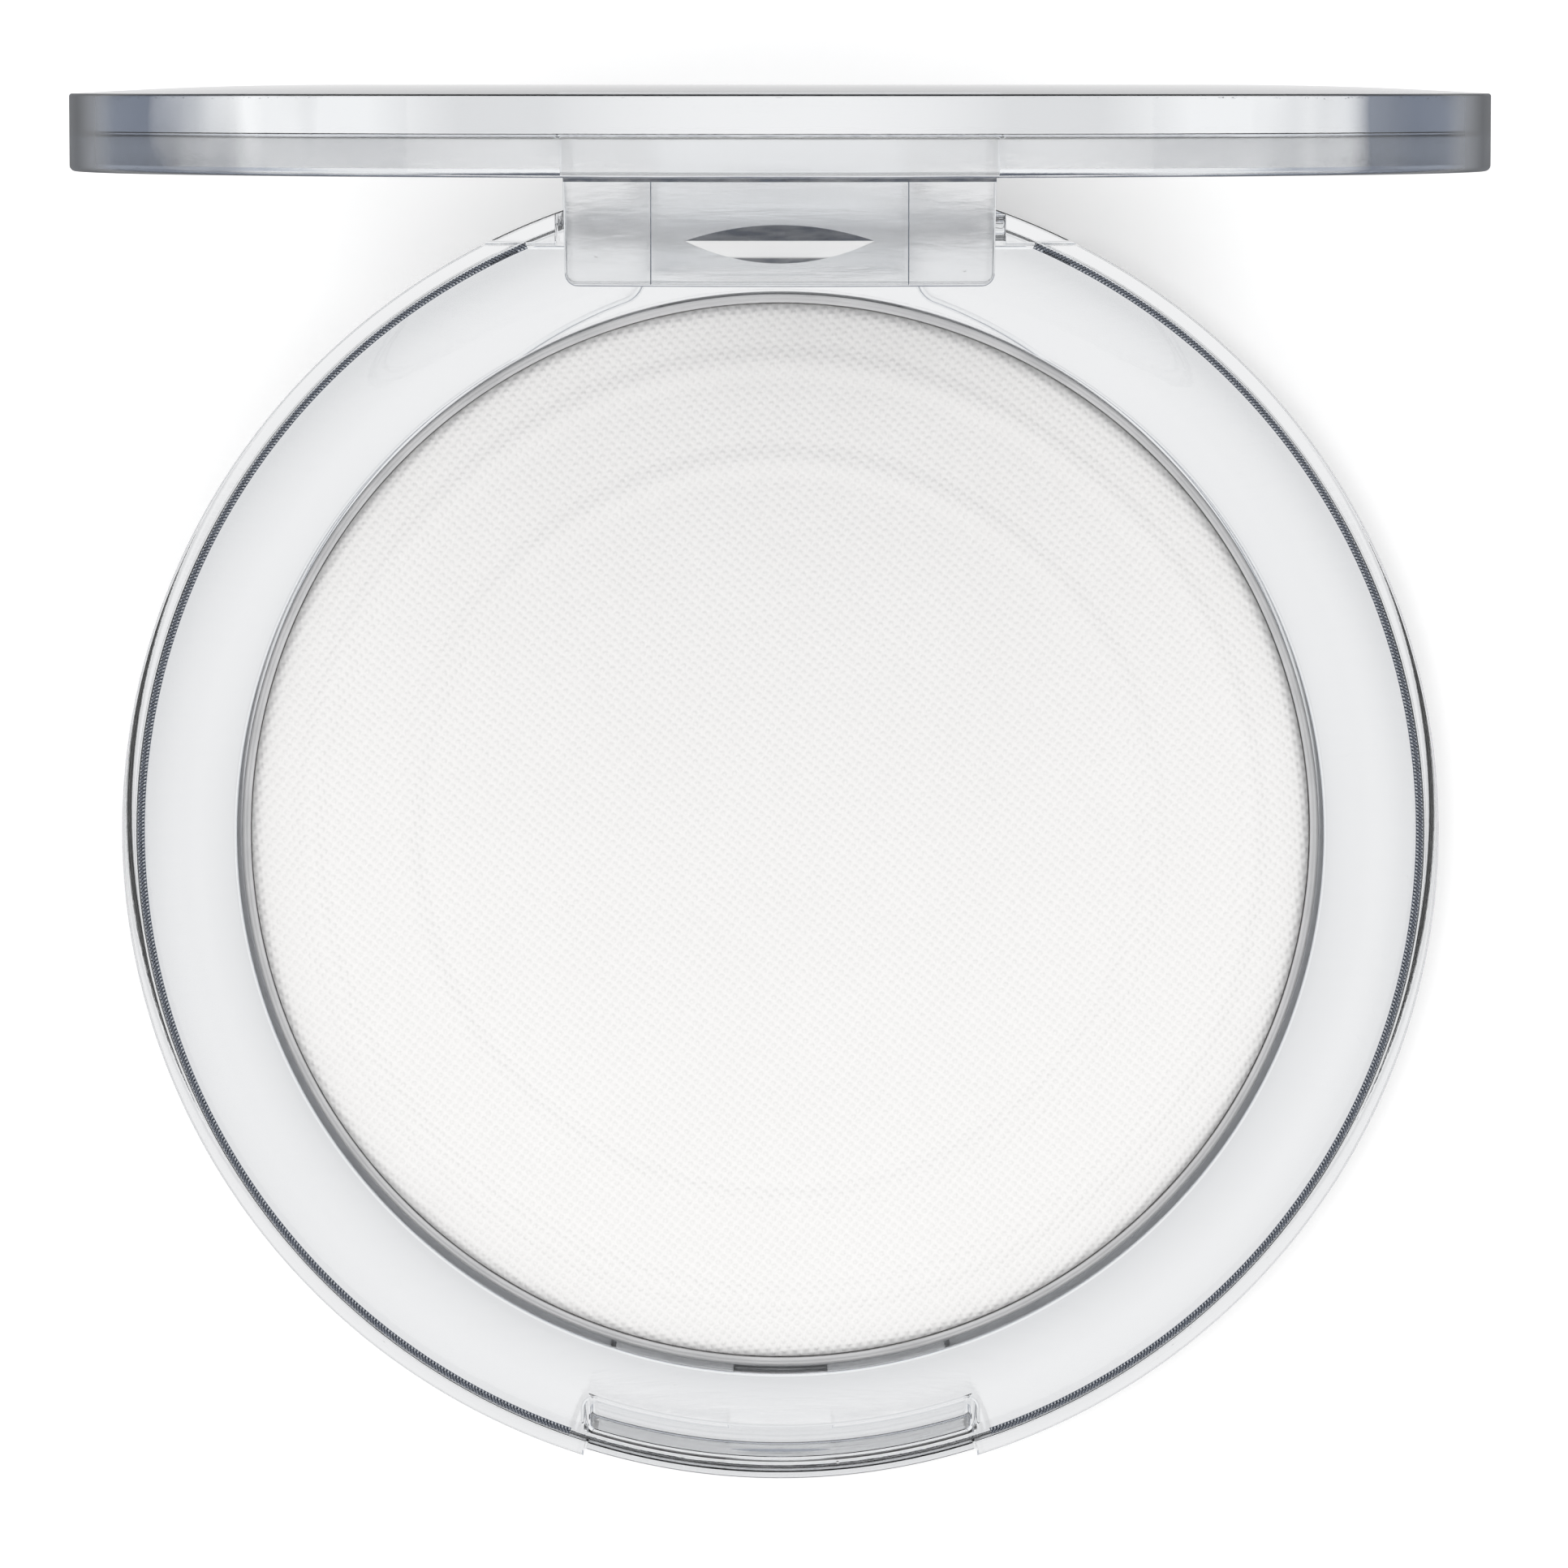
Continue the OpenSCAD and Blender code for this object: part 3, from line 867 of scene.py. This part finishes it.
def recess_painted_dark():
    """The snap recess, painted slate above its ridge and in a crescent along its lower edge: painted dark
    reflections. The mesh is the open lid, so the tab's height runs along Y. The root line has this
    material too, so it is painted dark as well."""
    m = Nodes("recess_painted_dark")
    m.set(IOR=STYRENE_IOR, Transmission_Weight=0.85)
    ridge = (hinge.y + SNAP_Z - hinge.z) * MM
    level = m.level("Y")
    # painted dark reflection above the ridge and in the crescent along the recess's lower edge
    upper = m.remap(level, ridge - 0.02 * MM, ridge + 0.03 * MM, 0, 1)
    crescent = m.remap(level, ridge - 0.72 * MM, ridge - 0.82 * MM, 0, 1)
    grain = m.noise(3, detail=3, stretch=(0.2, 1, 1))
    shade = m.math("MULTIPLY", m.math("MAXIMUM", upper, crescent), m.remap(grain, 0.2, 0.6, 0.9, 1.0))
    m.link(m.mix(shade, (0.95, 0.96, 0.975), (0.012, 0.016, 0.026)), m.shader.inputs["Base Color"])
    m.link(m.remap(grain, 0.3, 0.7, 0.03, 0.1), m.shader.inputs["Roughness"])
    return m.material


def serration_painted_shade():
    """Painted shade on the serrated edge: dark lines across it, one per tooth and slanted as the teeth are,
    and a faint dark core along it."""
    m = Nodes("serrated_painted_shade")
    m.set(IOR=STYRENE_IOR, Transmission_Weight=1.0)
    x, y = m.level("X"), m.level("Y")
    turn = m.math("MULTIPLY", m.math("ARCTAN2", y, m.math("ABSOLUTE", x)), TEETH / math.tau)
    radius = m.math("SQRT", m.math("ADD", m.math("MULTIPLY", x, x), m.math("MULTIPLY", y, y)))
    lean = m.math("MULTIPLY", radius, SLANT / (TOOTH_W * MM))
    phase = m.math("FRACT", m.math("ADD", turn, lean))
    # painted shade between the teeth, and below a painted dark core along the edge
    line = m.remap(m.math("ABSOLUTE", m.math("SUBTRACT", phase, 0.5)), 0.12, 0.3, 0, 1)
    middle = (TOOTH_R + TOOTH_W / 2) * MM
    core = m.remap(m.math("ABSOLUTE", m.math("SUBTRACT", radius, middle)), 0.02 * MM, 0.1 * MM, 1, 0)
    shade = m.math("MAXIMUM", line, m.math("MULTIPLY", core, 0.35))
    m.link(m.mix(shade, (0.78, 0.8, 0.83), (0.035, 0.042, 0.06)), m.shader.inputs["Base Color"])
    m.link(m.remap(m.noise(6, detail=3), 0.3, 0.7, 0.02, 0.12), m.shader.inputs["Roughness"])
    return m.material


def powder():
    """Pressed powder with the fine diagonal weave of the press cloth."""
    m = Nodes("pressed_powder")
    m.set(Specular_IOR_Level=0.15, Sheen_Weight=0.15, Sheen_Roughness=0.6)
    heights = []
    for turn in (math.radians(38), math.radians(-52)):
        threads = m.stretched((1, 1, 1), (0, 0, turn))
        heights.append(m.wave(threads, 0.75, 1.2, 2, 1.4, wave_type="BANDS", bands_direction="X"))
    weave = m.math("MULTIPLY", *heights)
    grain = m.noise(9, detail=4, rough=0.6)
    patches = m.noise(0.12, detail=3)
    tone = m.math("ADD", m.math("MULTIPLY", patches, 0.6), m.math("MULTIPLY", grain, 0.4))
    m.link(m.mix(tone, (0.885, 0.876, 0.864), (0.925, 0.918, 0.909)), m.shader.inputs["Base Color"])
    m.link(m.remap(grain, 0.3, 0.7, 0.78, 0.95), m.shader.inputs["Roughness"])
    cloth = m.bump(weave, 0.055, strength=1.0)
    m.link(m.bump(grain, 0.02, strength=0.7, normal=cloth), m.shader.inputs["Normal"])
    return m.material


def pan_metal():
    """Drawn aluminium: concentric turning marks and a satin haze."""
    m = Nodes("pan_aluminium")
    m.set(Metallic=1.0)
    rings = m.wave(m.stretched((1, 1, 1)), 1.6, 0.6, 3, wave_type="RINGS", rings_direction="Z")
    haze = m.noise(0.3, detail=4)
    m.link(m.mix(haze, (0.66, 0.66, 0.665), (0.74, 0.74, 0.745)), m.shader.inputs["Base Color"])
    m.link(m.remap(haze, 0.3, 0.7, 0.4, 0.55), m.shader.inputs["Roughness"])
    m.link(m.bump(rings, 0.01, strength=0.5), m.shader.inputs["Normal"])
    return m.material


def pin_steel():
    """Drawn steel wire: fine lines along its length."""
    m = Nodes("pin_wire")
    m.set(Metallic=1.0)
    lines = m.noise(5, detail=4, stretch=(0.05, 3, 3))
    m.link(m.mix(lines, (0.5, 0.5, 0.52), (0.68, 0.68, 0.7)), m.shader.inputs["Base Color"])
    m.link(m.remap(lines, 0.3, 0.7, 0.18, 0.38), m.shader.inputs["Roughness"])
    m.link(m.bump(lines, 0.01), m.shader.inputs["Normal"])
    return m.material


def film():
    """Translucent fibre-filled adhesive film."""
    m = Nodes("adhesive_film")
    m.set(Specular_IOR_Level=0.3)
    fibres = m.noise(1.5, detail=5, stretch=(0.4, 2.5, 1))
    m.link(m.mix(fibres, (0.8, 0.8, 0.77), (0.9, 0.9, 0.88)), m.shader.inputs["Base Color"])
    m.link(m.remap(fibres, 0.3, 0.7, 0.45, 0.7), m.shader.inputs["Roughness"])
    m.link(m.bump(fibres, 0.02), m.shader.inputs["Normal"])
    return m.material


# ---- Studio ----

def backdrop():
    """Pale opal sheet, lit evenly from beneath like a light table."""
    m = Nodes("opal_sheet")
    m.set(Specular_IOR_Level=0.1, Emission_Strength=0.38)
    fibre = m.noise(0.4, detail=4)
    m.link(m.mix(fibre, (0.80, 0.80, 0.80), (0.815, 0.815, 0.815)), m.shader.inputs["Base Color"])
    m.link(m.remap(fibre, 0.3, 0.7, 0.7, 0.85), m.shader.inputs["Roughness"])
    m.shader.inputs["Emission Color"].default_value = (1, 1, 1, 1)
    return m.material


def make_floor():
    """Wide pale floor. The clear plastic doesn't see it, and sees the bowl instead."""
    half = 3000
    floor = new_object("floor", [(-half, -half, -AIR), (half, -half, -AIR), (half, half, -AIR),
                                 (-half, half, -AIR)], [(0, 1, 2, 3)])
    floor.data.transform(Matrix.Scale(MM, 4))
    floor.data.materials.append(backdrop())
    floor.visible_transmission = floor.visible_glossy = False


def make_bowl():
    """Lit bowl far around and under the compact, seen only in its clear plastic: pale on every side, with
    a slate-coloured band above the horizon that gives the plastic its dark edges."""
    m = Nodes("light_bowl")
    m.set(Base_Color=(0, 0, 0, 1), Specular_IOR_Level=0.0, Emission_Strength=1.0)
    uneven = m.math("MULTIPLY", m.math("SUBTRACT", m.noise(0.006, detail=2), 0.5), 0.01)
    height = m.math("ADD", m.level("Z"), uneven)
    layers = [(-0.999, -0.975, (0.715, 0.72, 0.73)), (-0.95, -0.91, (0.95, 0.955, 0.96)),
              (-0.78, -0.66, (0.5, 0.53, 0.59)), (-0.48, -0.34, (0.9, 0.91, 0.92)),
              (0.02, 0.07, (0.04, 0.055, 0.09))]
    colour = m.mix(m.noise(0.01), (0.88, 0.88, 0.885), (0.895, 0.895, 0.9))
    for start, end, shade in layers:        # heights in metres between which each shade takes over
        colour = m.mix(m.remap(height, start, end, 0, 1), colour, shade)
    m.link(colour, m.shader.inputs["Emission Color"])
    columns, rows = 96, 80
    points = [(*polar(math.sin(a), math.tau * i / columns), -math.cos(a))
              for a in between(math.radians(1), math.radians(122), rows) for i in range(columns)]
    faces = [tuple(range(columns))]
    for k in range(rows):
        faces += band(k * columns, columns)
    bowl = new_object("bowl", points, faces)
    bowl.data.materials.append(m.material)
    bowl.visible_camera = bowl.visible_diffuse = bowl.visible_shadow = False


def make_world():
    """White studio, brightest overhead like a large soft box."""
    world = bpy.data.worlds.new("studio")
    world.use_nodes = True
    back = world.node_tree.nodes["Background"]
    back.inputs["Color"].default_value = (1, 1, 1, 1)
    tree = world.node_tree
    up = tree.nodes.new("ShaderNodeSeparateXYZ")
    tree.links.new(tree.nodes.new("ShaderNodeTexCoord").outputs["Generated"], up.inputs["Vector"])
    glow = tree.nodes.new("ShaderNodeMapRange")
    tree.links.new(up.outputs["Z"], glow.inputs["Value"])
    for name, number in zip(("From Min", "From Max", "To Min", "To Max"), (0.2, 0.8, 0.5, 1.05)):
        glow.inputs[name].default_value = number
    tree.links.new(glow.outputs["Result"], back.inputs["Strength"])
    bpy.context.scene.world = world


def area_light(name, place_mm, aim_mm, size_mm, power):
    """Round soft light that the clear plastic doesn't see, so that it leaves no hot spot there."""
    light = bpy.data.lights.new(name, "AREA")
    light.shape = "DISK"
    light.size = size_mm * MM
    light.energy = power
    lamp = bpy.data.objects.new(name, light)
    bpy.context.scene.collection.objects.link(lamp)
    lamp.location = Vector(place_mm) * MM
    lamp.rotation_euler = (Vector(aim_mm) - Vector(place_mm)).to_track_quat("-Z", "Y").to_euler()
    lamp.visible_glossy = lamp.visible_transmission = False


def make_camera():
    """Straight above the lid's outer face, so that the lid is edge-on, tilted back to the base."""
    place_mm, aim_mm = Vector((0.2, 40.9, 468.5)), Vector((0.2, 2.75, PARTING_Z))
    camera = bpy.data.cameras.new("camera")
    camera.sensor_width, camera.lens = 36, 193.9
    camera.clip_start, camera.clip_end = 0.01, 20
    holder = bpy.data.objects.new("camera", camera)
    bpy.context.scene.collection.objects.link(holder)
    holder.location = place_mm * MM
    sight = aim_mm - place_mm
    holder.rotation_euler = (math.atan2(sight.y, -sight.z), 0, 0)
    bpy.context.scene.camera = holder


def make_studio():
    make_floor()
    make_world()
    make_bowl()
    area_light("key", place_mm=(-75, 55, 700), aim_mm=(0, 0, 10), size_mm=130, power=1.1)
    make_camera()
    scene = bpy.context.scene
    scene.view_settings.view_transform = "Standard"
    scene.cycles.max_bounces = 24
    scene.cycles.transmission_bounces = 22


shell_plastic = clear_plastic("shell_plastic", (0.975, 0.98, 0.985), (0, 0, 0.4), (0.55, 0.05))
frame_plastic = clear_plastic("frame_plastic", (0.972, 0.975, 0.978), (0, 0, 0.9), (0.8, 0.07))
lid_plastic = clear_plastic("lid_plastic", LID_TINT, (0, 0, 0), (0.6, 0.06))
make_shell(shell_plastic)
make_frame(frame_plastic)
make_serration(serration_painted_shade())
make_pan(pan_metal())
make_powder(powder())
make_film(film())
make_pin(pin_steel())
make_lid(lid_plastic, frosted_plastic(), recess_painted_dark(), rim_painted_dark())
make_studio()
